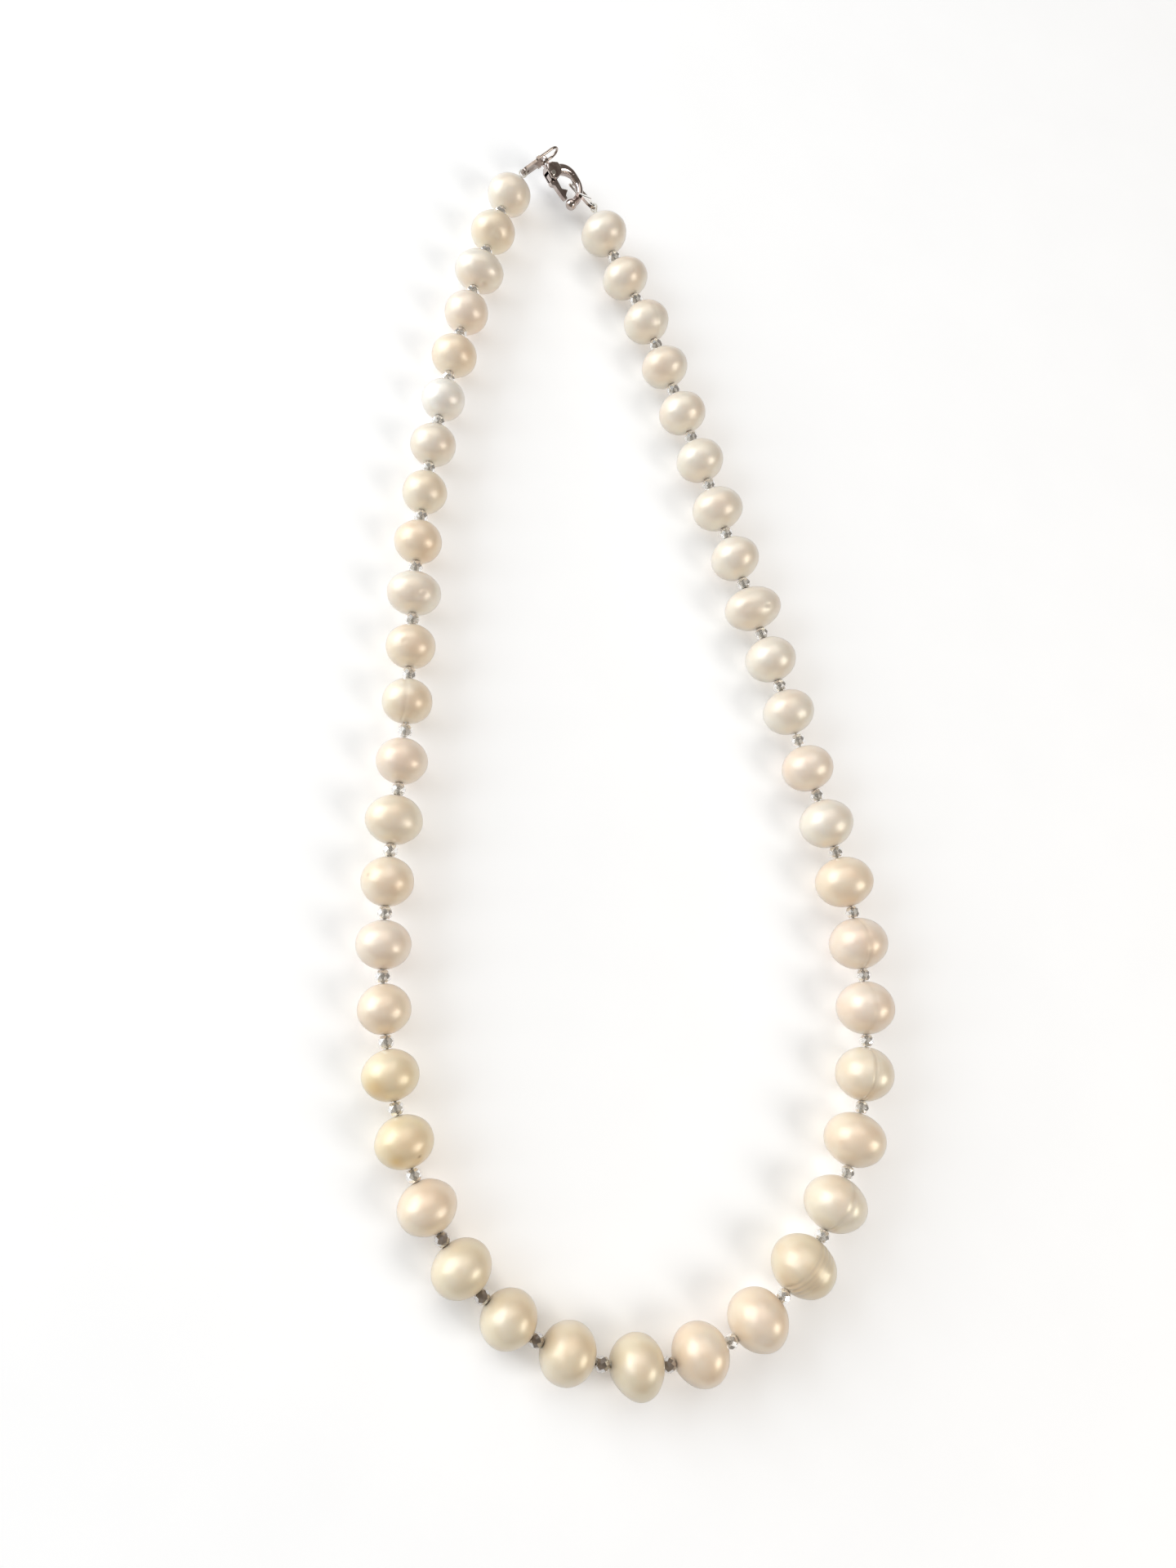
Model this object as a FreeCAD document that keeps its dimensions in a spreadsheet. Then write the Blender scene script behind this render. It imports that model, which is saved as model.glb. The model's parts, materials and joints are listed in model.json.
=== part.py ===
import FreeCAD, Part
import math
import os
import Sketcher

# Single-strand pearl necklace with a lobster clasp, lying closed on a table.
# Millimetres.  +Z is up, z = 0 is the table, +Y runs from the front pearl to the clasp.
# Each pearl stands on the table, so the height of the thread above the table gives its radius.

Vector = FreeCAD.Vector
UP = Vector(0, 0, 1)

doc = FreeCAD.newDocument("pearl_necklace")

# ---------------------------------------------------------------------------
# Driving dimensions
# ---------------------------------------------------------------------------
SIZES = {
    "thread_width": 0.4,
    "ring_radius": 0.65,
    "pearl_bore": 1.0,
    "bead_width": 2.24,
    "bead_length": 1.8,
    "bead_bore": 0.7,
    "bead_play": 0.07,
    "flex_reach": 1.24,
    "left_end_play": 1.6,
    "right_end_play": 0.9,
    "tag_width": 2.2,
    "tag_thickness": 0.5,
    "tag_plate_length": 4.0,
    "tag_lug_thickness": 0.62,
    "tag_bore": 1.0,
    "tag_bore_inset": 0.95,
    "tag_wire": 0.46,
    "tag_loop_radius": 1.32,
    "eye_radius": 0.8,
    "eye_wire": 0.56,
    "shoulder_thickness": 2.3,
    "shoulder_fillet": 0.25,
    "hook_bar": 1.26,
    "nose_radius": 1.0,
    "slot_width": 1.5,
    "lever_thickness": 0.9,
    "lever_disc_radius": 0.68,
    "lever_bore": 0.64,
    "rivet_bore": 0.6,
    "rivet_width": 0.56,
    "rivet_head_width": 0.86,
    "rivet_head_height": 0.16,
    "rivet_play": 0.02,
    "spring_wire": 0.1,
    "spring_coil_radius": 0.45,
    "spring_pitch": 0.11,
    "spring_leg": 0.8,
    "spring_play": 0.02,
}

sheet = doc.addObject("Spreadsheet::Sheet", "Sizes")
cell_count = 0
# The spring's coil, in turns, and how far a pearl's drill runs, in half lengths from its middle.
SPRING_TURNS = 1.5
DRILL_REACH = 1.2


def add_size(alias, number):
    """Put one plain number in the sheet, under a word that expressions can use."""
    global cell_count
    cell_count += 1
    sheet.set("A%d" % cell_count, alias)
    sheet.set("B%d" % cell_count, "%.4f" % number)
    sheet.setAlias("B%d" % cell_count, alias)


for size_name, size_value in SIZES.items():
    add_size(size_name, size_value)
add_size("spring_turns", SPRING_TURNS)
add_size("drill_reach", DRILL_REACH)

# ---------------------------------------------------------------------------
# The strand's route: from the ring in the left tag, round the front, to the ring in the right tag
# ---------------------------------------------------------------------------
ROUTE = [
    (-12.98, 98.18, 3.5),
    (-16.6, 90.6, 3.8),
    (-21.7, 75.2, 3.85),
    (-26.2, 59.0, 3.75),
    (-30.0, 42.8, 3.7),
    (-32.8, 26.0, 3.75),
    (-34.1, 9.0, 3.85),
    (-35.4, -8.2, 3.85),
    (-38.1, -25.4, 4.0),
    (-39.4, -42.4, 4.0),
    (-38.4, -58.4, 4.1),
    (-34.3, -74.2, 4.25),
    (-26.5, -87.2, 4.4),
    (-15.0, -95.9, 4.6),
    (-0.5, -99.1, 4.8),
    (13.8, -95.6, 5.0),
    (25.4, -85.6, 5.05),
    (33.7, -71.8, 4.9),
    (38.0, -56.6, 4.75),
    (38.8, -40.4, 4.8),
    (36.2, -24.4, 4.55),
    (32.0, -8.4, 4.3),
    (27.8, 7.8, 4.35),
    (23.2, 24.2, 4.3),
    (18.8, 40.6, 4.15),
    (13.9, 57.0, 4.1),
    (9.0, 72.8, 4.05),
    (2.2, 87.8, 3.95),
    (0.48, 92.72, 4.9),
]
ARC_SHARE = 0.45
SHORTEST_RUN = 1e-4

# Pearls that are wider or narrower than they are tall.
PEARL_COUNT = 46
ODD_WIDTH = {
    1: 1.03, 3: 1.10, 4: 0.97, 6: 0.96, 8: 0.96, 10: 1.11, 14: 1.08, 15: 0.97, 17: 0.95,
    22: 0.93, 23: 0.94, 24: 0.92, 25: 0.92, 26: 0.94, 27: 1.01, 28: 0.97, 30: 0.95, 31: 0.97,
    33: 1.04, 38: 1.14, 39: 0.96, 40: 1.07, 45: 1.04, 46: 0.96,
}
# Pearls that are longer or shorter along the thread than their neighbours.
ODD_LENGTH = {
    1: 1.05, 3: 0.97, 6: 0.97, 14: 1.04, 15: 1.02, 24: 0.96, 25: 0.97, 27: 1.04,
    30: 1.04, 31: 1.04, 32: 1.03, 33: 1.04, 34: 1.03, 38: 0.97, 43: 0.97, 45: 0.96,
}
# Small pearls are rounder than large ones: length grows as this power of height.
LENGTH_POWER = 0.7
LAYOUT_ROUNDS = 5

# The strand is four sections: name, first pearl, last pearl.
SECTIONS = [
    ("left_back", 1, 12),
    ("left_front", 13, 23),
    ("right_front", 24, 35),
    ("right_back", 36, 46),
]
FLEX_AFTER = [12, 23, 35]
# The flex bead stays with the section nearer to the root, left_front.
FLEX_BEAD_OWNER = {12: "left_front", 23: "left_front", 35: "right_front"}


def rounded_path(points, share):
    """Straight runs joined by tangent arcs, one arc at each inner point."""
    corners = [Vector(*p) for p in points]
    edges = []
    cursor = corners[0]
    radii = []
    for before, corner, after in zip(corners, corners[1:], corners[2:]):
        run_in = (corner - before).normalize()
        run_out = (after - corner).normalize()
        turn = run_in.getAngle(run_out)
        setback = share * min((corner - before).Length, (after - corner).Length)
        radius = setback / math.tan(turn / 2)
        arc_start = corner - run_in * setback
        arc_end = corner + run_out * setback
        to_centre = (run_out - run_in).normalize()
        arc_middle = corner + to_centre * (radius / math.cos(turn / 2) - radius)
        edges.append(Part.LineSegment(cursor, arc_start).toShape())
        edges.append(Part.Arc(arc_start, arc_middle, arc_end).toShape())
        cursor = arc_end
        radii.append(radius)
    edges.append(Part.LineSegment(cursor, corners[-1]).toShape())
    return edges, radii


path_edges, path_radii = rounded_path(ROUTE, ARC_SHARE)
path_length = sum(edge.Length for edge in path_edges)
print("strand path %.2f mm, arcs %.1f to %.1f mm" % (path_length, min(path_radii), max(path_radii)))


def path_point(distance):
    """The point and the direction of the strand at a distance from its start."""
    for edge in path_edges:
        if distance <= edge.Length or edge is path_edges[-1]:
            parameter = edge.getParameterByLength(min(distance, edge.Length))
            return edge.valueAt(parameter), edge.tangentAt(parameter)
        distance -= edge.Length


def path_part(start, end):
    """The wire of the strand between two distances from its start."""
    pieces = []
    travelled = 0.0
    for edge in path_edges:
        low = max(start - travelled, 0.0)
        high = min(end - travelled, edge.Length)
        if high - low > SHORTEST_RUN:
            first = edge.getParameterByLength(low)
            last = edge.getParameterByLength(high)
            pieces.append(edge.Curve.toShape(first, last))
        travelled += edge.Length
    return Part.Wire(pieces)


# ---------------------------------------------------------------------------
# Places and sizes of the pearls along the path
# ---------------------------------------------------------------------------
bead_gap = SIZES["bead_length"] + 2 * SIZES["bead_play"]
flex_gap = 2 * SIZES["flex_reach"]
numbers = range(1, PEARL_COUNT + 1)


def gap_after(number):
    return flex_gap if number in FLEX_AFTER else bead_gap


def lay_out_row():
    """Fill the path with pearls: each is as tall as the thread is high there, twice over."""
    end_play = SIZES["left_end_play"] + SIZES["right_end_play"]
    space = path_length - end_play - sum(gap_after(n) for n in numbers[:-1])
    lengths = {n: space / PEARL_COUNT for n in numbers}
    for _ in range(LAYOUT_ROUNDS):
        middle = {}
        cursor = SIZES["left_end_play"]
        for n in numbers:
            middle[n] = cursor + lengths[n] / 2
            cursor += lengths[n] + gap_after(n)
        heights = {n: path_point(middle[n])[0].z for n in numbers}
        shares = {n: heights[n] ** LENGTH_POWER * ODD_LENGTH.get(n, 1.0) for n in numbers}
        scale = space / sum(shares.values())
        lengths = {n: shares[n] * scale for n in numbers}
    return middle, lengths


pearl_middle, pearl_length = lay_out_row()
print("pearls %.2f to %.2f mm along the thread" % (min(pearl_length.values()), max(pearl_length.values())))


def along(direction, origin, across=None):
    """A placement whose Z axis is the direction and whose X axis is level."""
    z_axis = Vector(direction).normalize()
    x_axis = across if across else z_axis.cross(UP).normalize()
    y_axis = z_axis.cross(x_axis)
    return FreeCAD.Placement(origin, FreeCAD.Rotation(x_axis, y_axis, z_axis, "ZXY"))


def pearl_place(number):
    """Middle of the straight bore, which splits the difference with the curved thread."""
    half = pearl_length[number] / 2
    entry = path_point(pearl_middle[number] - half)[0]
    leaving = path_point(pearl_middle[number] + half)[0]
    chord_middle = (entry + leaving) * 0.5
    centre = (chord_middle + path_point(pearl_middle[number])[0]) * 0.5
    return centre, (leaving - entry).normalize()


def bead_distance(number):
    """Where the bead after a pearl sits along the path."""
    return pearl_middle[number] + pearl_length[number] / 2 + gap_after(number) / 2


nodes = []


def add_pearl(number):
    name = "pearl_%02d" % number
    centre, direction = pearl_place(number)
    add_size(name + "_half_length", pearl_length[number] / 2)
    add_size(name + "_half_width", centre.z * ODD_WIDTH.get(number, 1.0))
    add_size(name + "_half_height", centre.z)
    nacre = doc.addObject("Part::Ellipsoid", name + "_nacre")
    nacre.setExpression("Radius1", "Sizes.%s_half_length" % name)
    nacre.setExpression("Radius2", "Sizes.%s_half_width" % name)
    nacre.setExpression("Radius3", "Sizes.%s_half_height" % name)
    bore = doc.addObject("Part::Cylinder", name + "_bore")
    bore.setExpression("Radius", "Sizes.pearl_bore / 2")
    bore.setExpression("Height", "2 * Sizes.drill_reach * Sizes.%s_half_length" % name)
    bore.setExpression("Placement.Base.z", "-Sizes.drill_reach * Sizes.%s_half_length" % name)
    pearl = doc.addObject("Part::Cut", name + "_drilled")
    pearl.Base = nacre
    pearl.Tool = bore
    pearl.Placement = along(direction, centre)
    pearl.Label = name
    nodes.append(pearl)


def add_bead(number):
    """A small crystal bead between two pearls: a ball with flat ends and a bore."""
    name = "bead_%02d" % number
    point, direction = path_point(bead_distance(number))
    ball = doc.addObject("Part::Sphere", name + "_ball")
    ball.setExpression("Radius", "Sizes.bead_width / 2")
    ball.setExpression("Angle1", "-asin(Sizes.bead_length / Sizes.bead_width)")
    ball.setExpression("Angle2", "asin(Sizes.bead_length / Sizes.bead_width)")
    bore = doc.addObject("Part::Cylinder", name + "_bore")
    bore.setExpression("Radius", "Sizes.bead_bore / 2")
    bore.setExpression("Height", "2 * Sizes.bead_length")
    bore.setExpression("Placement.Base.z", "-Sizes.bead_length")
    bead = doc.addObject("Part::Cut", name)
    bead.Base = ball
    bead.Tool = bore
    bead.Placement = along(direction, point)
    return bead


def bead_owner(number):
    if number in FLEX_BEAD_OWNER:
        return FLEX_BEAD_OWNER[number]
    for section, first, last in SECTIONS:
        if first <= number <= last:
            return section


for pearl_number in numbers:
    add_pearl(pearl_number)

beads = {section: [] for section, _, _ in SECTIONS}
for pearl_number in numbers[:-1]:
    beads[bead_owner(pearl_number)].append(add_bead(pearl_number))
for section, section_beads in beads.items():
    group = doc.addObject("Part::Compound", "beads_" + section)
    group.Links = section_beads
    group.Label = "spacer_beads_" + section
    nodes.append(group)


# ---------------------------------------------------------------------------
# Tags and clasp: where they lie
# ---------------------------------------------------------------------------
def tilted(origin, yaw, slope, roll):
    """A placement whose X axis points along yaw and climbs by slope, then rolls about itself."""
    return FreeCAD.Placement(Vector(*origin), FreeCAD.Rotation(yaw, -slope, roll))


TAG_BORE_POINT = {"left_tag": (-11.92, 98.94, 3.96), "right_tag": (-0.02, 93.9, 4.42)}
TAG_TURN = {"left_tag": (36.0, 20.0, 90.0), "right_tag": (113.0, -21.0, 26.0)}
CLASP_EYE = (-8.42, 101.48, 4.2)
CLASP_TURN = (-51.7, -11.6, 0.0)


def tag_place(name):
    """The tag's own origin is the rounded end of its plate, and its bore is a little way in."""
    at_bore = tilted(TAG_BORE_POINT[name], *TAG_TURN[name])
    back = Vector(-SIZES["tag_bore_inset"], 0, 0)
    return at_bore.multiply(FreeCAD.Placement(back, FreeCAD.Rotation()))


# ---------------------------------------------------------------------------
# Thread: one length in each section, with a ring through each tag
# ---------------------------------------------------------------------------
def ring_centre(name):
    """The ring goes round the rim between the tag's bore and its rounded end."""
    rim = (SIZES["tag_bore_inset"] - SIZES["tag_bore"] / 2) / 2
    return tag_place(name).multVec(Vector(rim, 0, 0))


def thread_ring(name):
    across = tag_place(name).Rotation.multVec(Vector(0, 1, 0))
    return Part.makeTorus(SIZES["ring_radius"], SIZES["thread_width"] / 2, ring_centre(name), across)


def thread_tube(wire):
    start = wire.Edges[0]
    point = start.valueAt(start.FirstParameter)
    direction = start.tangentAt(start.FirstParameter)
    circle = Part.Wire([Part.makeCircle(SIZES["thread_width"] / 2, point, direction)])
    tube = wire.makePipeShell([circle], True, False)
    section_area = math.pi * SIZES["thread_width"] ** 2 / 4
    print("thread %.2f mm, volume over section times length %.4f"
          % (wire.Length, tube.Volume / (section_area * wire.Length)))
    return tube


flex_start = {n: bead_distance(n) - SIZES["flex_reach"] for n in FLEX_AFTER}
flex_end = {n: bead_distance(n) + SIZES["flex_reach"] for n in FLEX_AFTER}
half_bead = SIZES["bead_length"] / 2
THREAD_ENDS = {
    "left_back": (0.0, flex_start[12]),
    "left_front": (bead_distance(12) - half_bead, bead_distance(23) + half_bead),
    "right_front": (flex_end[23], bead_distance(35) + half_bead),
    "right_back": (flex_end[35], path_length),
}
THREAD_RING = {"left_back": "left_tag", "right_back": "right_tag"}

for section, (start, end) in THREAD_ENDS.items():
    thread_shape = thread_tube(path_part(start, end))
    if section in THREAD_RING:
        thread_shape = thread_shape.fuse(thread_ring(THREAD_RING[section]))
    thread = doc.addObject("Part::Feature", "thread_shape_" + section)
    thread.Shape = thread_shape
    thread.Label = "thread_" + section
    nodes.append(thread)
for name, route_end in (("left_tag", ROUTE[0]), ("right_tag", ROUTE[-1])):
    outer = tag_place(name).Rotation.multVec(Vector(-SIZES["ring_radius"], 0, 0)) + ring_centre(name)
    print("%s: ring meets the thread at %.2f %.2f %.2f" % (name, outer.x, outer.y, outer.z))


# ---------------------------------------------------------------------------
# Helpers for sketched pieces
# ---------------------------------------------------------------------------
START_DIAMETER = 1.0


def origin_plane(body, role):
    for feature in body.Origin.OriginFeatures:
        if feature.Role == role:
            return feature


def new_sketch(body, role, name, shift=(0, 0, 0)):
    sketch = body.newObject("Sketcher::SketchObject", name)
    sketch.AttachmentSupport = [(origin_plane(body, role), "")]
    sketch.MapMode = "FlatFace"
    sketch.AttachmentOffset = FreeCAD.Placement(Vector(*shift), FreeCAD.Rotation())
    return sketch


def draw_outline(sketch, corners):
    """A closed outline of straight lines, its corners held together."""
    count = len(corners)
    for index, corner in enumerate(corners):
        following = corners[(index + 1) % count]
        sketch.addGeometry(Part.LineSegment(Vector(*corner, 0), Vector(*following, 0)), False)
    for index in range(count):
        sketch.addConstraint(Sketcher.Constraint("Coincident", index, 2, (index + 1) % count, 1))


def draw_circle(sketch, x, y, expression):
    """A circle held at its place, whose diameter follows the sheet."""
    index = sketch.addGeometry(Part.Circle(Vector(x, y, 0), UP, START_DIAMETER / 2), False)
    sketch.addConstraint(Sketcher.Constraint("DistanceX", -1, 1, index, 3, x))
    sketch.addConstraint(Sketcher.Constraint("DistanceY", -1, 1, index, 3, y))
    size = sketch.addConstraint(Sketcher.Constraint("Diameter", index, START_DIAMETER))
    sketch.setExpression("Constraints[%d]" % size, expression)
    return index


def pad(body, sketch, name, expression):
    feature = body.newObject("PartDesign::Pad", name)
    feature.Profile = sketch
    feature.Midplane = True
    feature.setExpression("Length", expression)
    sketch.Visibility = False
    return feature


def pocket(body, sketch, name, expression):
    feature = body.newObject("PartDesign::Pocket", name)
    feature.Profile = sketch
    feature.Midplane = True
    feature.setExpression("Length", expression)
    return feature


def place_primitive(body, feature, centre, rotation):
    feature.AttachmentSupport = [(origin_plane(body, "XY_Plane"), "")]
    feature.MapMode = "FlatFace"
    feature.AttachmentOffset = FreeCAD.Placement(Vector(*centre, 0), rotation)


def bend(body, name, centre, radius, start_angle, sweep, wire):
    """Part of a torus in the XY plane: a round bar bent about a centre."""
    feature = body.newObject("PartDesign::AdditiveTorus", name)
    place_primitive(body, feature, centre, FreeCAD.Rotation(UP, start_angle))
    feature.Radius1 = radius
    feature.Angle3 = sweep
    feature.setExpression("Radius2", "%s / 2" % wire)


def bar(body, name, start, end, wire):
    """A straight round bar in the XY plane."""
    run = Vector(*end, 0) - Vector(*start, 0)
    feature = body.newObject("PartDesign::AdditiveCylinder", name)
    place_primitive(body, feature, start, FreeCAD.Rotation(UP, run))
    feature.Height = run.Length
    feature.setExpression("Radius", "%s / 2" % wire)


def line(x1, y1, x2, y2):
    return Part.LineSegment(Vector(x1, y1, 0), Vector(x2, y2, 0))


def arc_through(first, middle, last):
    return Part.Arc(Vector(*first, 0), Vector(*middle, 0), Vector(*last, 0))


# ---------------------------------------------------------------------------
# Tag: a stamped plate with a bore for the thread and a wire loop
# ---------------------------------------------------------------------------
LUG_START = 3.45
LUG_END = 4.1
LUG_HALF = 1.55
LEG_START = 3.75
LEG_END = 6.5


def add_tag(name):
    body = doc.addObject("PartDesign::Body", name)
    half = SIZES["tag_width"] / 2
    plate_end = SIZES["tag_plate_length"]
    plate = new_sketch(body, "XY_Plane", name + "_plate_sketch")
    plate.addGeometry(line(half, -half, plate_end, -half), False)
    plate.addGeometry(line(plate_end, -half, plate_end, half), False)
    plate.addGeometry(line(plate_end, half, half, half), False)
    plate.addGeometry(arc_through((half, half), (0, 0), (half, -half)), False)
    for index in range(3):
        plate.addConstraint(Sketcher.Constraint("Coincident", index, 2, index + 1, 1))
    plate.addConstraint(Sketcher.Constraint("Horizontal", 0))
    plate.addConstraint(Sketcher.Constraint("Vertical", 1))
    pad(body, plate, name + "_plate", "Sizes.tag_thickness")
    lug = new_sketch(body, "XY_Plane", name + "_lug_sketch")
    draw_outline(lug, [(LUG_START, -LUG_HALF), (LUG_END, -LUG_HALF),
                       (LUG_END, LUG_HALF), (LUG_START, LUG_HALF)])
    pad(body, lug, name + "_lug", "Sizes.tag_lug_thickness")
    radius = SIZES["tag_loop_radius"]
    bar(body, name + "_leg_a", (LEG_START, radius), (LEG_END, radius), "Sizes.tag_wire")
    bend(body, name + "_loop", (LEG_END, 0), radius, -90, 180, "Sizes.tag_wire")
    bar(body, name + "_leg_b", (LEG_START, -radius), (LEG_END, -radius), "Sizes.tag_wire")
    bore = new_sketch(body, "XY_Plane", name + "_bore_sketch")
    draw_circle(bore, SIZES["tag_bore_inset"], 0, "Sizes.tag_bore")
    pocket(body, bore, name + "_bore", "2 * Sizes.tag_thickness")
    body.Placement = tag_place(name)
    body.Label = name
    nodes.append(body)
    return body


left_tag = add_tag("left_tag")
right_tag = add_tag("right_tag")

# ---------------------------------------------------------------------------
# Lobster clasp.  Its own X axis runs from the eye to the nose and Y to the round side of the hook.
# ---------------------------------------------------------------------------
clasp_place = tilted(CLASP_EYE, *CLASP_TURN)
PIVOT = (2.6, -0.45)
NOSE_X = 8.5
HOOK_START = (1.9, 0.6)
HOOK_BACK_RADIUS = 2.6
HOOK_NOSE_RADIUS = 3.2
HOOK_TOP = 3.7
HOOK_LOW = 1.1
SHOULDER = [(0.75, -0.5), (1.5, -1.05), (3.2, -1.15), (3.7, -0.6),
            (3.4, 0.9), (2.6, 1.7), (1.3, 1.7), (0.75, 0.6)]
SLOT = [(1.75, -1.6), (4.6, -1.6), (4.6, 0.75), (1.75, 0.75)]
LEVER = [(2.7, -1.1), (3.3, -1.12), (3.55, -1.6), (4.1, -1.62), (4.5, -1.1), (6.4, -0.98),
         (7.3, -0.85), (7.4, -0.3), (6.8, -0.2), (6.15, 0.75), (5.5, -0.2), (3.6, -0.05), (2.7, 0.2)]


def add_clasp_body():
    body = doc.addObject("PartDesign::Body", "clasp_body_piece")
    shoulder = new_sketch(body, "XY_Plane", "shoulder_sketch")
    draw_outline(shoulder, SHOULDER)
    block = pad(body, shoulder, "shoulder", "Sizes.shoulder_thickness")
    doc.recompute()
    softened = body.newObject("PartDesign::Fillet", "shoulder_softened")
    softened.Base = (block, ["Edge%d" % (i + 1) for i in range(len(block.Shape.Edges))])
    softened.setExpression("Radius", "Sizes.shoulder_fillet")
    doc.recompute()

    back_x = HOOK_START[0] + HOOK_BACK_RADIUS
    front_x = NOSE_X - HOOK_NOSE_RADIUS
    nose_y = HOOK_TOP - HOOK_NOSE_RADIUS
    wire = "Sizes.hook_bar"
    bar(body, "hook_root", HOOK_START, (HOOK_START[0], HOOK_LOW), wire)
    bend(body, "hook_back", (back_x, HOOK_LOW), HOOK_BACK_RADIUS, 90, 90, wire)
    bar(body, "hook_top", (back_x, HOOK_TOP), (front_x, HOOK_TOP), wire)
    bend(body, "hook_front", (front_x, nose_y), HOOK_NOSE_RADIUS, 0, 90, wire)
    bar(body, "hook_tip", (NOSE_X, nose_y), (NOSE_X, 0), wire)

    eye = body.newObject("PartDesign::AdditiveTorus", "eye")
    eye.AttachmentSupport = [(origin_plane(body, "XZ_Plane"), "")]
    eye.MapMode = "FlatFace"
    eye.setExpression("Radius1", "Sizes.eye_radius")
    eye.setExpression("Radius2", "Sizes.eye_wire / 2")
    nose = body.newObject("PartDesign::AdditiveSphere", "nose")
    nose.AttachmentSupport = [(origin_plane(body, "XY_Plane"), "")]
    nose.MapMode = "FlatFace"
    nose.AttachmentOffset = FreeCAD.Placement(Vector(NOSE_X, 0, 0), FreeCAD.Rotation())
    nose.setExpression("Radius", "Sizes.nose_radius")

    slot = new_sketch(body, "XY_Plane", "slot_sketch")
    draw_outline(slot, SLOT)
    pocket(body, slot, "slot", "Sizes.slot_width")
    bore = new_sketch(body, "XY_Plane", "rivet_bore_sketch")
    draw_circle(bore, PIVOT[0], PIVOT[1], "Sizes.rivet_bore")
    pocket(body, bore, "rivet_bore_cut", "2 * Sizes.shoulder_thickness")
    body.Placement = clasp_place
    body.Label = "clasp_body"
    nodes.append(body)
    return body


def add_lever():
    body = doc.addObject("PartDesign::Body", "lever_piece")
    disc = new_sketch(body, "XY_Plane", "lever_disc_sketch")
    draw_circle(disc, PIVOT[0], PIVOT[1], "2 * Sizes.lever_disc_radius")
    pad(body, disc, "lever_disc", "Sizes.lever_thickness")
    arm = new_sketch(body, "XY_Plane", "lever_arm_sketch")
    draw_outline(arm, LEVER)
    pad(body, arm, "lever_arm", "Sizes.lever_thickness")
    bore = new_sketch(body, "XY_Plane", "lever_bore_sketch")
    draw_circle(bore, PIVOT[0], PIVOT[1], "Sizes.lever_bore")
    pocket(body, bore, "lever_bore_cut", "2 * Sizes.lever_thickness")
    body.Placement = clasp_place
    body.Label = "clasp_lever"
    nodes.append(body)
    return body


def add_rivet():
    """A headed pin through both cheeks and the lever."""
    half = SIZES["shoulder_thickness"] / 2 + SIZES["rivet_play"]
    shank = doc.addObject("Part::Cylinder", "rivet_shank")
    shank.setExpression("Radius", "Sizes.rivet_width / 2")
    shank.setExpression("Height", "Sizes.shoulder_thickness + 2 * Sizes.rivet_play")
    shank.Placement.Base = Vector(PIVOT[0], PIVOT[1], -half)
    heads = []
    for side, name in ((1, "rivet_top"), (-1, "rivet_bottom")):
        head = doc.addObject("Part::Cylinder", name)
        head.setExpression("Radius", "Sizes.rivet_head_width / 2")
        head.setExpression("Height", "Sizes.rivet_head_height")
        low = half if side > 0 else -half - SIZES["rivet_head_height"]
        head.Placement.Base = Vector(PIVOT[0], PIVOT[1], low)
        heads.append(head)
    rivet = doc.addObject("Part::MultiFuse", "rivet_whole")
    rivet.Shapes = [shank] + heads
    rivet.Placement = clasp_place
    rivet.Label = "lever_rivet"
    nodes.append(rivet)


def add_spring():
    """A torsion spring round the rivet, between the lever and one cheek."""
    bottom = SIZES["lever_thickness"] / 2 + SIZES["spring_play"] + SIZES["spring_wire"] / 2
    coil_path = doc.addObject("Part::Helix", "spring_path")
    coil_path.setExpression("Radius", "Sizes.spring_coil_radius")
    coil_path.setExpression("Pitch", "Sizes.spring_pitch")
    coil_path.setExpression("Height", "Sizes.spring_turns * Sizes.spring_pitch")
    doc.recompute()
    radius = SIZES["spring_coil_radius"]
    wire_radius = SIZES["spring_wire"] / 2
    height = SPRING_TURNS * SIZES["spring_pitch"]
    circle = Part.Wire([Part.makeCircle(wire_radius, Vector(radius, 0, 0), Vector(0, 1, 0))])
    coil = Part.Wire(coil_path.Shape.Edges).makePipeShell([circle], True, True)
    first_leg = Part.makeCylinder(wire_radius, SIZES["spring_leg"], Vector(radius, 0, 0), Vector(0, -1, 0))
    last_leg = Part.makeCylinder(wire_radius, SIZES["spring_leg"], Vector(-radius, 0, height), Vector(0, -1, 0))
    spring = doc.addObject("Part::Feature", "spring_shape")
    spring.Shape = coil.fuse([first_leg, last_leg])
    lift = FreeCAD.Placement(Vector(PIVOT[0], PIVOT[1], bottom), FreeCAD.Rotation(90, 0, 0))
    spring.Placement = clasp_place.multiply(lift)
    spring.Label = "lever_spring"
    nodes.append(spring)


add_clasp_body()
add_lever()
add_rivet()
add_spring()

# ---------------------------------------------------------------------------
# Checks and files
# ---------------------------------------------------------------------------
doc.recompute()
for item in doc.Objects:
    if "Invalid" in item.State or "Error" in item.State:
        raise RuntimeError("%s (%s) failed: %s" % (item.Name, item.Label, item.State))

whole = FreeCAD.BoundBox()
for node in nodes:
    shape = node.Shape
    if shape.isNull() or not shape.isValid() or not shape.Solids:
        raise RuntimeError("%s has no valid solid" % node.Label)
    if node.TypeId == "PartDesign::Body" and len(shape.Solids) != 1:
        raise RuntimeError("%s is in %d pieces" % (node.Label, len(shape.Solids)))
    whole.add(shape.BoundBox)
print("nodes %d, box %.2f %.2f %.2f to %.2f %.2f %.2f" % (
    len(nodes), whole.XMin, whole.YMin, whole.ZMin, whole.XMax, whole.YMax, whole.ZMax))

os.makedirs("parts", exist_ok=True)
for node in nodes:
    node.Shape.exportStep(os.path.join("parts", node.Label + ".step"))
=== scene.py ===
import json
import math

import bpy
from mathutils import Matrix, Vector, noise


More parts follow.
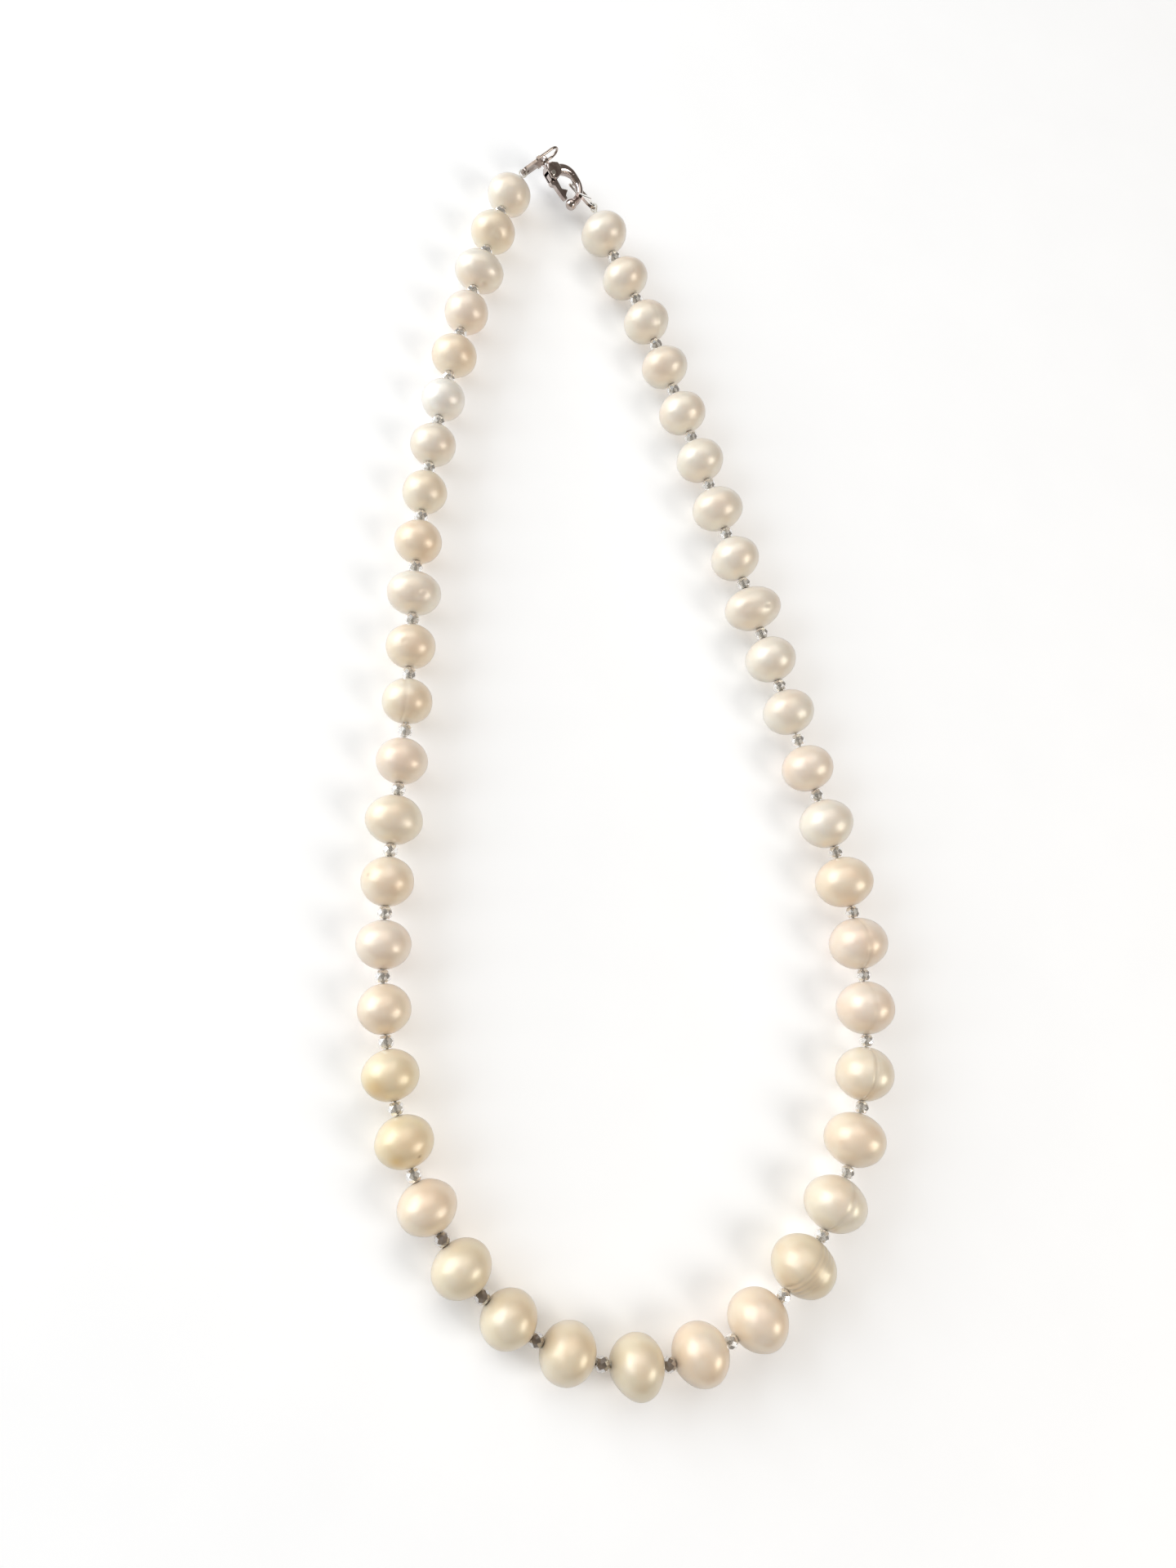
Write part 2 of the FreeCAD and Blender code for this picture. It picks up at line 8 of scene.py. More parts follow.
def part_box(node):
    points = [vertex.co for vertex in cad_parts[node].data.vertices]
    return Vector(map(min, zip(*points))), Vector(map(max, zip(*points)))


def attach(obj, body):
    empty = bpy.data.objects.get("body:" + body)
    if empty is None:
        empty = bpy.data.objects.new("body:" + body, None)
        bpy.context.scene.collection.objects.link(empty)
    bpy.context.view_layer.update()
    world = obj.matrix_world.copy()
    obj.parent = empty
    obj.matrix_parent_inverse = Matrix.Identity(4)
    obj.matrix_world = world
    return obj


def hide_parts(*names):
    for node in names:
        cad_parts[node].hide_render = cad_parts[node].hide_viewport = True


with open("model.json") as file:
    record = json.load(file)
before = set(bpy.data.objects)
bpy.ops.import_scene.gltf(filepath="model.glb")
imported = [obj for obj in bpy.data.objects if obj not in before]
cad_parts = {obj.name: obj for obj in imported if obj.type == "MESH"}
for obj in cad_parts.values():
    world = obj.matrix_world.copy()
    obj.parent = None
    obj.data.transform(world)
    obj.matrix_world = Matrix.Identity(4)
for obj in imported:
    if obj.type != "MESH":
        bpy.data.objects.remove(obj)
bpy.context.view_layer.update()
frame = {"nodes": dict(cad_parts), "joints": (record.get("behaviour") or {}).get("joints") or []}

# Pearl necklace lying closed on a table.  Metres, in the shared frame: +Z up, z = 0 the table,
# +Y from the front pearls towards the clasp.  Sizes written in millimetres are scaled by MM.

MM = 0.001
UP = Vector((0, 0, 1))
nodes = frame["nodes"]
joints = {joint["name"]: joint for joint in frame["joints"]}
scene = bpy.context.scene
scene.view_settings.view_transform = "Standard"

# ---------------------------------------------------------------------------
# Camera: held by hand above the strand, looking down and a little away, and turned
# ---------------------------------------------------------------------------
CAMERA_PLACE = Vector((-67.7, -59.94, 180.58)) * MM
CAMERA_TILT = math.radians(23.5)
CAMERA_ROLL = math.radians(-52.0)
# The level direction that the tilt turns the view towards.
CAMERA_FAR = Vector((0.796, 0.605, 0)).normalized()
CAMERA_LENS = 28.125
CAMERA_SENSOR = 36.0
CAMERA_NEAR = 0.01


def add_camera():
    """Adds the camera, and returns the picture's right, up and towards-the-camera directions."""
    level = Vector((CAMERA_FAR.y, -CAMERA_FAR.x, 0))
    ahead = CAMERA_FAR * math.cos(CAMERA_TILT) + UP * math.sin(CAMERA_TILT)
    right = level * math.cos(CAMERA_ROLL) - ahead * math.sin(CAMERA_ROLL)
    top = level * math.sin(CAMERA_ROLL) + ahead * math.cos(CAMERA_ROLL)
    back = UP * math.cos(CAMERA_TILT) - CAMERA_FAR * math.sin(CAMERA_TILT)
    data = bpy.data.cameras.new("camera")
    data.lens = CAMERA_LENS
    data.sensor_width = CAMERA_SENSOR
    data.clip_start = CAMERA_NEAR
    camera = bpy.data.objects.new("camera", data)
    scene.collection.objects.link(camera)
    turn = Matrix((right, top, back)).transposed().to_4x4()
    camera.matrix_world = Matrix.Translation(CAMERA_PLACE) @ turn
    scene.camera = camera
    return right, top, back


PICTURE_RIGHT, PICTURE_UP, PICTURE_BACK = add_camera()

# ---------------------------------------------------------------------------
# Materials
# ---------------------------------------------------------------------------
# The Mix node repeats its sockets' names for each kind of data, so its colour sockets go by number.
MIX_FACTOR = 0
MIX_FIRST = 6
MIX_SECOND = 7
MIX_RESULT = 2
# Brightness of the darker patches in a crystal, as a share of its colour.
CRYSTAL_PATCH = 0.82
ROSY_CLOUD = (0.95, 0.78, 0.66)
MILKY_CLOUD = (0.88, 0.85, 0.82)
CLEAN_THREAD = (0.86, 0.84, 0.78)
DIRTY_THREAD = (0.70, 0.66, 0.58)


class MaterialNodes:
    """Short names for making a material's nodes."""

    def __init__(self, name):
        self.material = bpy.data.materials.new(name)
        self.material.use_nodes = True
        self.tree = self.material.node_tree
        self.shader = self.tree.nodes["Principled BSDF"]

    def add(self, kind, **settings):
        node = self.tree.nodes.new(kind)
        for key, value in settings.items():
            setattr(node, key, value)
        return node

    def link(self, source, target):
        self.tree.links.new(source, target)

    def coordinates(self):
        return self.add("ShaderNodeTexCoord").outputs["Object"]

    def noise(self, scale, detail=3.0, roughness=0.5):
        """Noise over the object's own coordinates, with about scale waves to the metre."""
        texture = self.add("ShaderNodeTexNoise")
        texture.inputs["Scale"].default_value = scale
        texture.inputs["Detail"].default_value = detail
        texture.inputs["Roughness"].default_value = roughness
        self.link(self.coordinates(), texture.inputs["Vector"])
        return texture.outputs["Fac"]

    def remap(self, value, low_in, high_in, low, high):
        """The value's stretch from low_in to high_in, spread over low to high and cut off beyond."""
        node = self.add("ShaderNodeMapRange")
        ends = {"From Min": low_in, "From Max": high_in, "To Min": low, "To Max": high}
        for key, number in ends.items():
            node.inputs[key].default_value = number
        self.link(value, node.inputs["Value"])
        return node.outputs["Result"]

    def mix(self, factor, first, second, blend="MIX"):
        """Colour mix: each of first and second is a socket or an (r, g, b) colour."""
        mixer = self.add("ShaderNodeMix", data_type="RGBA", blend_type=blend)
        for socket, value in ((MIX_FACTOR, factor), (MIX_FIRST, first), (MIX_SECOND, second)):
            if isinstance(value, (tuple, list)):
                mixer.inputs[socket].default_value = (*value, 1)
            elif isinstance(value, float):
                mixer.inputs[socket].default_value = value
            else:
                self.link(value, mixer.inputs[socket])
        return mixer.outputs[MIX_RESULT]

    def bump(self, height, strength, distance):
        bump = self.add("ShaderNodeBump")
        bump.inputs["Strength"].default_value = strength
        bump.inputs["Distance"].default_value = distance
        self.link(height, bump.inputs["Height"])
        self.link(bump.outputs["Normal"], self.shader.inputs["Normal"])

    def set(self, **values):
        """Plain values of the shader's sockets, with _ for a space in a socket's name."""
        for key, value in values.items():
            self.shader.inputs[key.replace("_", " ")].default_value = value


def nacre_material():
    """Each pearl's own tint under rosy and pale clouds, a soft coat, and a thin film's play of colour."""
    made = MaterialNodes("nacre")
    tint = made.add("ShaderNodeAttribute", attribute_name="nacre").outputs["Color"]
    clouds = made.remap(made.noise(170.0, 2.0), 0.42, 0.68, 0.0, 0.40)
    rosy = made.mix(clouds, tint, ROSY_CLOUD, "MULTIPLY")
    cloudy = made.remap(made.noise(240.0, 3.0), 0.45, 0.7, 0.0, 0.16)
    colour = made.mix(cloudy, rosy, MILKY_CLOUD)
    made.link(colour, made.shader.inputs["Base Color"])
    made.link(made.remap(made.noise(900.0), 0.3, 0.7, 0.38, 0.46), made.shader.inputs["Roughness"])
    made.bump(made.noise(700.0, 1.0), 0.04, 0.00005)
    made.set(IOR=1.55, Metallic=0.16)
    made.set(Subsurface_Weight=0.12, Subsurface_Radius=(1.0, 0.7, 0.45), Subsurface_Scale=0.0012)
    made.set(Coat_Weight=0.60, Coat_Roughness=0.28, Coat_IOR=1.5)
    made.set(Thin_Film_Thickness=420.0, Thin_Film_IOR=1.45)
    return made.material


def crystal_material(name, colour, haze, clearness):
    """Glass with patches a little darker than its colour, as rough as haze where it is dullest."""
    made = MaterialNodes(name)
    shade = tuple(channel * CRYSTAL_PATCH for channel in colour)
    made.link(made.mix(made.noise(900.0, 2.0), shade, colour), made.shader.inputs["Base Color"])
    made.link(made.remap(made.noise(2500.0), 0.35, 0.7, 0.01, haze), made.shader.inputs["Roughness"])
    made.bump(made.noise(3500.0, 4.0), 0.05, 0.00002)
    made.set(IOR=1.54, Transmission_Weight=clearness)
    return made.material


def thread_material():
    made = MaterialNodes("thread")
    dirt = made.remap(made.noise(700.0, 4.0), 0.35, 0.7, 0.0, 1.0)
    colour = made.mix(dirt, CLEAN_THREAD, DIRTY_THREAD)
    made.link(colour, made.shader.inputs["Base Color"])
    made.bump(made.noise(9000.0, 3.0), 0.4, 0.00002)
    made.set(Roughness=0.75, Sheen_Weight=0.3)
    return made.material


def metal_material(name, colour, tarnish, low, high):
    """Polished metal, with tarnish in patches and fine wear in its roughness, from low to high."""
    made = MaterialNodes(name)
    patches = made.remap(made.noise(520.0, 5.0, 0.6), 0.48, 0.68, 0.0, 0.75)
    made.link(made.mix(patches, colour, tarnish), made.shader.inputs["Base Color"])
    made.link(made.remap(made.noise(2600.0, 5.0), 0.35, 0.7, low, high), made.shader.inputs["Roughness"])
    made.bump(made.noise(4200.0, 4.0), 0.10, 0.00002)
    made.set(Metallic=1.0)
    return made.material


NACRE = nacre_material()
CLEAR = crystal_material("clear_crystal", (0.70, 0.67, 0.62), haze=0.12, clearness=0.75)
# A darker, browner glass that lets less light through.
DARK_CRYSTAL = crystal_material("dark_crystal", (0.36, 0.30, 0.25), haze=0.16, clearness=0.45)
THREAD = thread_material()
SILVER = metal_material("silver", (0.88, 0.86, 0.82), (0.60, 0.52, 0.44), low=0.08, high=0.20)
# The clasp's silver has a dark, brown-purple colour: a painted reflection of dark things in a room, which
# the even room here doesn't hold.
REFLECTION_DARKENED_SILVER = metal_material("clasp_silver_painted_reflection", (0.56, 0.49, 0.46), (0.24, 0.15, 0.14), low=0.07, high=0.18)
# A darker, browner silver, for the whole left tag and for the right tag's sides.
DARKER_SILVER = metal_material("darker_silver", (0.42, 0.36, 0.32), (0.20, 0.14, 0.11), low=0.10, high=0.24)
SPRING = metal_material("spring_wire", (0.62, 0.61, 0.60), (0.42, 0.38, 0.34), low=0.18, high=0.32)


def make_object(name, points, faces, material, smooth=True):
    """A new mesh object of these points and faces, in the scene."""
    mesh = bpy.data.meshes.new(name)
    mesh.from_pydata([tuple(point) for point in points], [], faces)
    mesh.materials.append(material)
    mesh.polygons.foreach_set("use_smooth", [smooth] * len(faces))
    mesh.update()
    made = bpy.data.objects.new(name, mesh)
    scene.collection.objects.link(made)
    return made


def tube_faces(first, rows, columns, closed=False):
    """Faces of a tube whose rows of points start at number first: closed to a ring, or capped."""
    faces = []
    for row in range(rows if closed else rows - 1):
        above = (row + 1) % rows
        for column in range(columns):
            beside = (column + 1) % columns
            faces.append((first + row * columns + column, first + row * columns + beside,
                          first + above * columns + beside, first + above * columns + column))
    if not closed:
        faces.append(tuple(first + column for column in reversed(range(columns))))
        faces.append(tuple(first + (rows - 1) * columns + column for column in range(columns)))
    return faces


# ---------------------------------------------------------------------------
# Pearls
# ---------------------------------------------------------------------------
PEARL_COUNT = 46
PEARL_ROWS = 60
PEARL_COLUMNS = 88
BORE_RADIUS = 0.45 * MM
BORE_ROWS = 6

# Nacre colours, linear.
CREAM = (0.85, 0.74, 0.58)
COOL = (0.85, 0.77, 0.66)
PEACH = (0.87, 0.72, 0.55)
GOLD = (0.84, 0.69, 0.45)
OLIVE = (0.80, 0.68, 0.49)
ROSE = (0.87, 0.73, 0.60)
OCHRE = (0.76, 0.51, 0.22)
BROWN = (0.30, 0.18, 0.09)
PALE = (0.90, 0.86, 0.80)
# Pearls that aren't named here are COOL.
TINTS = {
    1: COOL, 2: CREAM, 3: COOL, 4: ROSE, 5: PEACH, 6: PALE, 7: COOL, 8: CREAM, 9: PEACH, 10: COOL,
    11: PEACH, 12: CREAM, 13: ROSE, 14: CREAM, 15: PEACH, 16: ROSE, 17: PEACH, 18: GOLD, 19: GOLD,
    20: PEACH, 21: OLIVE, 22: OLIVE, 23: OLIVE, 24: OLIVE, 25: PEACH, 26: PEACH, 27: OLIVE,
    28: CREAM, 29: PEACH, 30: CREAM, 31: ROSE, 32: ROSE, 33: PEACH, 34: COOL, 35: ROSE,
}

# Rings round the growth axis, which lies across the strand: pearl -> (place, width, depth) each,
# as shares of the pearl's radius.
GROOVES = {
    12: [(0.22, 0.05, 0.016)],
    27: [(-0.14, 0.05, 0.030), (0.02, 0.045, 0.042), (0.16, 0.045, 0.038), (0.30, 0.045, 0.026)],
    28: [(-0.02, 0.04, 0.030), (0.08, 0.035, 0.018)],
    30: [(-0.13, 0.04, 0.030), (-0.02, 0.03, 0.014)],
    31: [(-0.15, 0.05, 0.010)],
    32: [(-0.11, 0.04, 0.024), (-0.24, 0.035, 0.010)],
    44: [(0.04, 0.05, 0.010)],
}
# Directions on a pearl are (right, up, towards the camera), as the necklace is seen from the camera.
# Dents and pits: pearl -> (direction, angular size in radians, depth as a share of the radius) each.
DENTS = {
    2: [((0.0, -0.35, 0.9), 0.20, 0.035), ((0.25, -0.5, 0.8), 0.14, 0.028)],
    3: [((0.15, -0.8, 0.5), 0.16, 0.09)],
    10: [((0.3, -0.25, 0.9), 0.16, 0.035), ((0.45, -0.1, 0.85), 0.10, 0.025)],
    11: [((-0.1, 0.1, 1.0), 0.12, 0.020)],
    15: [((-0.62, 0.30, 0.72), 0.07, 0.030)],
    26: [((-0.1, -0.25, 0.95), 0.15, 0.025), ((0.12, -0.35, 0.9), 0.10, 0.02)],
    38: [((0.5, 0.0, 0.85), 0.10, 0.035), ((-0.25, -0.1, 0.95), 0.14, 0.02)],
}
# Spots of colour: pearl -> (direction, angular size, colour, strength) each.
SPOTS = {
    15: [((-0.62, 0.30, 0.72), 0.07, BROWN, 0.35)],
    18: [((-0.45, -0.35, 0.8), 0.42, OCHRE, 0.80)],
    19: [((-0.1, -0.5, 0.85), 0.32, OCHRE, 1.0), ((0.62, -0.35, 0.7), 0.06, BROWN, 0.8)],
    20: [((0.1, -0.4, 0.9), 0.40, OCHRE, 0.15)],
    26: [((-0.1, -0.25, 0.95), 0.25, ROSE, 0.6)],
    27: [((0.3, -0.6, 0.7), 0.45, OCHRE, 0.25)],
}
# Swellings that make a pearl lean or end in a nose: pearl -> (direction, angular size, height) each.
SWELLS = {
    1: [((0.3, -0.9, 0.2), 0.8, 0.02)],
    21: [((0.4, -0.8, 0.0), 0.8, 0.03)],
    24: [((0.35, -0.93, 0.1), 0.60, 0.13), ((-0.75, -0.6, 0.1), 0.6, -0.09)],
    25: [((0.5, -0.8, 0.0), 0.7, 0.03)],
    26: [((0.5, -0.8, 0.0), 0.7, 0.03)],
    28: [((0.9, -0.2, 0.0), 0.6, 0.02)],
    38: [((1.0, 0.1, 0.0), 0.6, 0.02)],
}
# Unevenness of every pearl: heights as shares of its radius, and the noise's scale for each.
LUMP_SIZE = 0.022
LUMP_SCALE = 1.3
BUMP_SIZE = 0.004
BUMP_SCALE = 4.5
GROOVE_WANDER = 0.03
GROOVE_WANDER_SCALE = 2.0
# The underside keeps little relief, so that the pearl stays on the table.
UNDERSIDE_FADE = 0.9
# How fast the relief grows away from the bore's rim.
RIM_FADE = 4
# Steps through the noise from one pearl to the next, so that no two pearls are alike.
RELIEF_SEED = (3.1, 1.7, 0)
COLOUR_SEED = (1.9, 0, 2.3)
WARMTH = 0.30
WARMTH_SCALE = 1.1
# Painted shade along a groove: its darkness, and its strength for its depth, up to a limit, so a deeper
# groove is painted darker.
GROOVE_PAINTED_SHADE = 0.72
GROOVE_STRENGTH = 16
GROOVE_LIMIT = 0.6


def pearl_frame(number):
    """Centre, and the unit directions along the thread, across it and out of the table."""
    joint = joints["pearl_%02d_spin" % number]
    centre = Vector(joint["pos_m"])
    along = Vector(joint["axis"]).normalized()
    across = along.cross(UP).normalized()
    return centre, along, across, across.cross(along)


def pearl_halves(number):
    """Half length, half width and half height of the plain pearl, from its own mesh."""
    centre, *directions = pearl_frame(number)
    halves = [0.0, 0.0, 0.0]
    for vertex in nodes["pearl_%02d" % number].data.vertices:
        offset = vertex.co - centre
        for index, direction in enumerate(directions):
            halves[index] = max(halves[index], abs(offset.dot(direction)))
    return halves


def spread(direction, target, size):
    """1 in the target's direction as the camera sees it, falling smoothly to 0 over a few sizes."""
    right, top, back = target
    angle = direction.angle(PICTURE_RIGHT * right + PICTURE_UP * top + PICTURE_BACK * back)
    return math.exp(-(angle / size) ** 2)


def noise_place(number, steps):
    """The pearl's own place in the noise."""
    return Vector([number * step for step in steps])


def pearl_relief(number, direction, side):
    """How far the surface stands out of the plain shape, as a share of its radius."""
    seed = noise_place(number, RELIEF_SEED)
    relief = LUMP_SIZE * noise.noise(direction * LUMP_SCALE + seed)
    relief += BUMP_SIZE * noise.noise(direction * BUMP_SCALE + seed)
    for place, width, depth in GROOVES.get(number, []):
        wander = GROOVE_WANDER * noise.noise(direction * GROOVE_WANDER_SCALE + seed)
        relief -= depth * math.exp(-((side - place + wander) / width) ** 2)
    for target, size, depth in DENTS.get(number, []):
        relief -= depth * spread(direction, target, size)
    for target, size, height in SWELLS.get(number, []):
        relief += height * spread(direction, target, size)
    underside = max(0.0, -direction.z)
    return relief * (1 - UNDERSIDE_FADE * underside)


def pearl_colour(number, direction, side):
    """The pearl's tint with warm patches, its spots, and painted shade along its grooves, darker for
    deeper ones.
    """
    seed = noise_place(number, COLOUR_SEED)
    colour = Vector(TINTS.get(number, COOL))
    warmth = 0.5 + 0.5 * noise.noise(direction * WARMTH_SCALE + seed)
    colour = colour.lerp(Vector(PEACH), WARMTH * warmth)
    for target, size, spot, strength in SPOTS.get(number, []):
        colour = colour.lerp(Vector(spot), strength * spread(direction, target, size))
    # Painted shade: each groove darkens the colour, more for a deeper groove.
    for place, width, depth in GROOVES.get(number, []):
        groove = math.exp(-((side - place) / width) ** 2)
        strength = min(GROOVE_LIMIT, depth * GROOVE_STRENGTH)
        colour = colour.lerp(Vector(PEACH) * GROOVE_PAINTED_SHADE, strength * groove)
    return (*colour, 1.0)


def add_pearl(number):
    """The pearl's uneven skin from rim to rim, closed by the wall of its bore."""
    centre, along, across, out = pearl_frame(number)
    length, width, height = pearl_halves(number)
    rim = math.acos(BORE_RADIUS / min(width, height))
    points = []
    colours = []
    for row in range(PEARL_ROWS + 1):
        slope = rim * (1 - 2 * row / PEARL_ROWS)
        for column in range(PEARL_COLUMNS):
            turn = 2 * math.pi * column / PEARL_COLUMNS
            ring = math.cos(slope)
            side = ring * math.cos(turn)
            offset = along * length * math.sin(slope)
            offset += across * width * side
            offset += out * height * ring * math.sin(turn)
            direction = along * math.sin(slope) + across * side + out * ring * math.sin(turn)
            direction.normalize()
            fade = min(1.0, (ring - math.cos(rim)) * RIM_FADE)
            points.append(centre + offset * (1 + fade * pearl_relief(number, direction, side)))
            colours.append(pearl_colour(number, direction, side))
    end = length * math.sin(rim)
    for row in range(1, BORE_ROWS):
        place = -end + 2 * end * row / BORE_ROWS
        for column in range(PEARL_COLUMNS):
            turn = 2 * math.pi * column / PEARL_COLUMNS
            wall = across * math.cos(turn) + out * math.sin(turn)
            points.append(centre + along * place + wall * BORE_RADIUS)
            colours.append((*PALE, 1.0))
    faces = tube_faces(0, len(points) // PEARL_COLUMNS, PEARL_COLUMNS, closed=True)
    made = make_object("nacre_%02d" % number, points, faces, NACRE)
    layer = made.data.color_attributes.new("nacre", "FLOAT_COLOR", "POINT")
    layer.data.foreach_set("color", [channel for colour in colours for channel in colour])
    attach(made, "pearl_%02d" % number)
    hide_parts("pearl_%02d" % number)


for pearl_number in range(1, PEARL_COUNT + 1):
    add_pearl(pearl_number)

# ---------------------------------------------------------------------------
# Spacer beads: faceted crystal, two rows of facets each side of the girdle
# ---------------------------------------------------------------------------
SECTION_GAPS = {
    "left_back": range(1, 12),
    "left_front": range(12, 24),
    "right_front": range(24, 36),
    "right_back": range(36, 46),
}
# The beads in gaps 20 to 24, between pearls 20 and 25, take the darker, browner glass.
DARK_BEAD_GAPS = range(20, 25)
BEAD_SIDES = 8
BEAD_BORE = 0.35 * MM
# Radians that each bead is turned about the thread from the one before.
BEAD_TURN = 0.7
# Rings from one end to the other: (place along the thread, radius, 1 if turned by half a facet), in mm.
BEAD_RINGS = [(-0.88, 0.72, 0), (-0.46, 1.03, 1), (0.0, 1.13, 0), (0.46, 1.03, 1), (0.88, 0.72, 0)]


def bead_place(gap):
    """Middle of the gap between two pearls' ends, and the thread's direction there."""
    ends = []
    for number, sign in ((gap, 1), (gap + 1, -1)):
        centre, along, _, _ = pearl_frame(number)
        length = pearl_halves(number)[0]
        ends.append(centre + along * sign * length)
    run = (pearl_frame(gap)[1] + pearl_frame(gap + 1)[1]).normalized()
    return (ends[0] + ends[1]) / 2, run


def facet_row(first, rings, row):
    """Facets from one ring of a bead to the next, as triangles where half a facet is turned."""
    above = (row + 1) % len(rings)
    turned = rings[above][2] - rings[row][2]
    faces = []
    for column in range(BEAD_SIDES):
        beside = (column + 1) % BEAD_SIDES
        a, b = first + row * BEAD_SIDES + column, first + row * BEAD_SIDES + beside
        d, c = first + above * BEAD_SIDES + column, first + above * BEAD_SIDES + beside
        if turned > 0:
            faces += [(a, b, d), (b, c, d)]
        elif turned < 0:
            faces += [(a, b, c), (a, c, d)]
        else:
            faces.append((a, b, c, d))
    return faces


def add_beads(section):
    """A section's beads in one object, the darker ones with their own material."""
    rings = [(place * MM, radius * MM, half) for place, radius, half in BEAD_RINGS]
    rings.append((rings[-1][0], BEAD_BORE, 0))
    rings.append((rings[0][0], BEAD_BORE, 0))
    points = []
    faces = []
    dark_bead_faces = []
    for gap in SECTION_GAPS[section]:
        centre, along = bead_place(gap)
        across = along.cross(UP).normalized()
        out = across.cross(along)
        first = len(points)
        spin = gap * BEAD_TURN
        for place, radius, half in rings:
            for column in range(BEAD_SIDES):
                turn = spin + 2 * math.pi * (column + half / 2) / BEAD_SIDES
                wall = across * math.cos(turn) + out * math.sin(turn)
                points.append(centre + along * place + wall * radius)
        for row in range(len(rings)):
            facets = facet_row(first, rings, row)
            faces += facets
            dark_bead_faces += [gap in DARK_BEAD_GAPS] * len(facets)
    made = make_object("crystal_beads_" + section, points, faces, CLEAR, smooth=False)
    made.data.materials.append(DARK_CRYSTAL)
    made.data.polygons.foreach_set("material_index", [int(dark_bead) for dark_bead in dark_bead_faces])
    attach(made, section)
    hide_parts("spacer_beads_" + section)


for section_name in SECTION_GAPS:
    add_beads(section_name)

# ---------------------------------------------------------------------------
# Thread: the route's listed points, as in the CAD model
# ---------------------------------------------------------------------------
ROUTE = [
    (-0.01298, 0.09818, 0.0035),
    (-0.0166, 0.0906, 0.0038),
    (-0.0217, 0.0752, 0.00385),
    (-0.0262, 0.0590, 0.00375),
    (-0.0300, 0.0428, 0.0037),
    (-0.0328, 0.0260, 0.00375),
    (-0.0341, 0.0090, 0.00385),
    (-0.0354, -0.0082, 0.00385),
    (-0.0381, -0.0254, 0.0040),
    (-0.0394, -0.0424, 0.0040),
    (-0.0384, -0.0584, 0.0041),
    (-0.0343, -0.0742, 0.00425),
    (-0.0265, -0.0872, 0.0044),
    (-0.0150, -0.0959, 0.0046),
    (-0.0005, -0.0991, 0.0048),
    (0.0138, -0.0956, 0.0050),
    (0.0254, -0.0856, 0.00505),
    (0.0337, -0.0718, 0.0049),
    (0.0380, -0.0566, 0.00475),
    (0.0388, -0.0404, 0.0048),
    (0.0362, -0.0244, 0.00455),
    (0.0320, -0.0084, 0.0043),
    (0.0278, 0.0078, 0.00435),
    (0.0232, 0.0242, 0.0043),
    (0.0188, 0.0406, 0.00415),
    (0.0139, 0.0570, 0.0041),
    (0.0090, 0.0728, 0.00405),
    (0.0022, 0.0878, 0.00395),
    (0.00048, 0.09272, 0.0049),
]
PLY_COUNT = 3
PLY_RADIUS = 0.1 * MM
PLY_OFFSET = 0.1 * MM
PLY_PITCH = 1.3 * MM
PLY_SIDES = 6
ROUTE_RESOLUTION = 40
PATH_STEP = 0.16 * MM
RING_RADIUS = 0.65 * MM
RING_POINTS = 40
# Sine of the smallest angle from upright at which a line's sideways direction still comes from UP.
NEARLY_UPRIGHT = 0.2


def route_line():
    """Points along the route's NURBS spline."""
    curve = bpy.data.curves.new("route", "CURVE")
    curve.dimensions = "3D"
    curve.resolution_u = ROUTE_RESOLUTION
    spline = curve.splines.new("NURBS")
    spline.points.add(len(ROUTE) - 1)
    for point, place in zip(spline.points, ROUTE):
        point.co = (*place, 1)
    spline.order_u = 3
    spline.use_endpoint_u = True
    holder = bpy.data.objects.new("route", curve)
    scene.collection.objects.link(holder)
    mesh = bpy.data.meshes.new_from_object(holder)
    line = [vertex.co.copy() for vertex in mesh.vertices]
    bpy.data.objects.remove(holder)
    bpy.data.meshes.remove(mesh)
    return line


def resampled(line, step):
    """The same line with evenly spaced points."""
    total = sum((b - a).length for a, b in zip(line, line[1:]))
    count = max(2, round(total / step))
    even = [line[0]]
    walked = 0.0
    for a, b in zip(line, line[1:]):
        run = (b - a).length
        while len(even) < count and walked + run >= len(even) * total / count:
            share = (len(even) * total / count - walked) / run
            even.append(a.lerp(b, share))
        walked += run
    even.append(line[-1])
    return even


def plies(line, points, faces, phase=0.0, closed=False):
    """Three twisted plies round a line, added to the points and faces."""
    count = len(line)
    for ply in range(PLY_COUNT):
        first = len(points)
        walked = 0.0
        for index, here in enumerate(line):
            after = line[(index + 1) % count] if closed else line[min(index + 1, count - 1)]
            before = line[index - 1] if closed or index else line[0]
            run = (after - before).normalized()
            across = run.cross(UP)
            if across.length <= NEARLY_UPRIGHT:
                across = run.cross(Vector((1, 0, 0)))
            across = across.normalized()
            out = across.cross(run)
            walked += (here - before).length if index else 0.0
            turn = phase + 2 * math.pi * (walked / PLY_PITCH + ply / PLY_COUNT)
            middle = here + (across * math.cos(turn) + out * math.sin(turn)) * PLY_OFFSET
            for side in range(PLY_SIDES):
                angle = 2 * math.pi * side / PLY_SIDES
                points.append(middle + (across * math.cos(angle) + out * math.sin(angle)) * PLY_RADIUS)
        faces += tube_faces(first, count, PLY_SIDES, closed)


def nearest(line, place):
    """Number of the line's point that is nearest to a place."""
    return min(range(len(line)), key=lambda index: (line[index] - Vector(place)).length)


whole_line = resampled(route_line(), PATH_STEP)
cuts = [nearest(whole_line, joints[name]["pos_m"]) for name in ("flex_left", "flex_front", "flex_right")]
